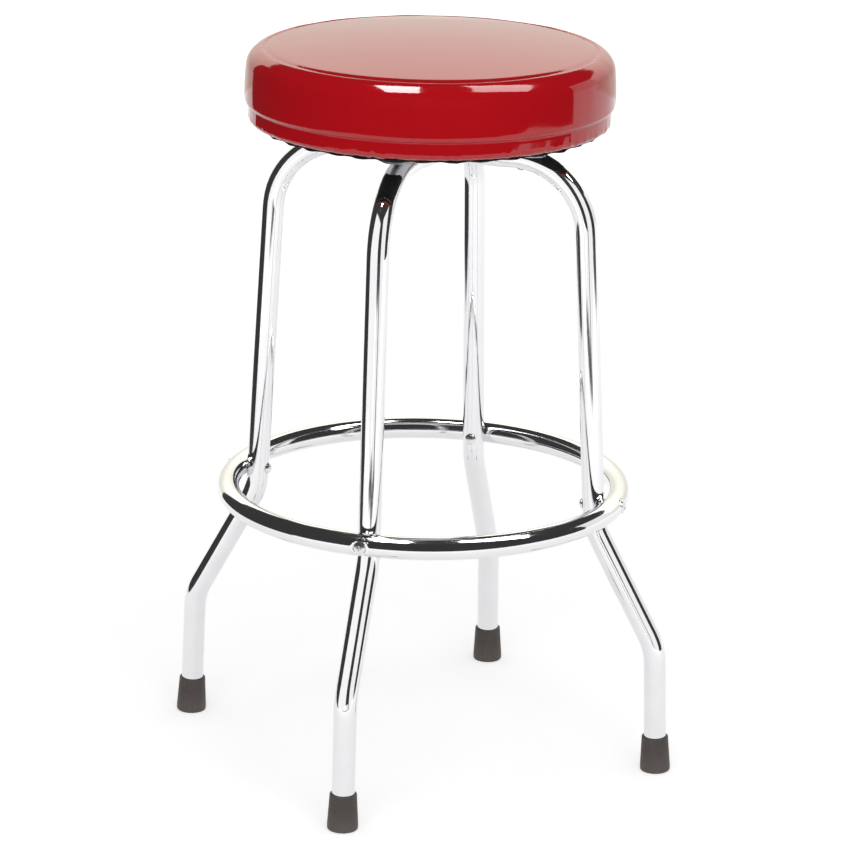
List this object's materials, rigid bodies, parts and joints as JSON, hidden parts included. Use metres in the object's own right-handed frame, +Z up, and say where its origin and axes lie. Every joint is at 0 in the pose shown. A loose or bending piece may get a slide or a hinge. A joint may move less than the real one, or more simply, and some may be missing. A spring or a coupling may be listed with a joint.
{
  "type": "swivel stool",
  "caption": "Round padded swivel stool with a crowned cushion on bent tube legs, a circular foot ring and rubber feet.",
  "frame": {"origin": "on the floor, on the stool's upright axis, midway between the four feet", "axes": "+Z up along the swivel axis; the legs stand on the diagonals of X and Y, so the open bays between legs face X and Y"},
  "size_m": [0.4132, 0.4132, 0.727],
  "materials": {
    "chrome_tube": "bright polished chrome plate",
    "chrome_fasteners": "bright plated, slightly worn",
    "foot_rubber": "matt moulded rubber",
    "zinc_plated_steel": "dull zinc plate",
    "bearing_steel": "ground and greased",
    "cage_plastic": "moulded",
    "plywood": "sawn and sanded",
    "foam": "open-cell foam",
    "red_vinyl": "glossy upholstery vinyl",
    "black_cloth": "non-woven cloth",
    "staple_wire": "galvanised wire"
  },
  "bodies": {
    "leg_frame": {"leg_frame_lower": "chrome_tube", "leg_frame_upper": "chrome_tube", "foot_ring": "chrome_tube", "foot_ring_screws": "chrome_fasteners", "foot_ring_nuts": "chrome_fasteners", "rubber_foot_rear_right": "foot_rubber", "rubber_foot_rear_left": "foot_rubber", "rubber_foot_front_left": "foot_rubber", "rubber_foot_front_right": "foot_rubber", "foot_washers": "zinc_plated_steel", "swivel_lower_plate": "zinc_plated_steel", "swivel_lower_race": "zinc_plated_steel", "leg_plate_screws": "chrome_fasteners", "leg_plate_washers": "zinc_plated_steel", "leg_plate_nuts": "zinc_plated_steel"},
    "bearing": {"swivel_balls": "bearing_steel", "ball_cage": "cage_plastic"},
    "seat": {"swivel_upper_plate": "zinc_plated_steel", "swivel_upper_race": "zinc_plated_steel", "seat_plate_screws": "zinc_plated_steel", "seat_board": "plywood", "seat_foam": "foam", "cover_top_panel": "red_vinyl", "cover_side_band": "red_vinyl", "dust_cover": "black_cloth", "hem_staples": "staple_wire"}
  },
  "joints": [
    {"name": "seat_swivel", "type": "hinge", "parent": "leg_frame", "child": "seat", "pos_m": [0, 0, 0.6358], "axis": [0, 0, 1], "continuous": true},
    {"name": "bearing_roll", "type": "hinge", "parent": "leg_frame", "child": "bearing", "pos_m": [0, 0, 0.6358], "axis": [0, 0, 1], "continuous": true}
  ],
  "couplings": [
    {"joint": "bearing_roll", "follows": "seat_swivel", "ratio": 0.5}
  ]
}
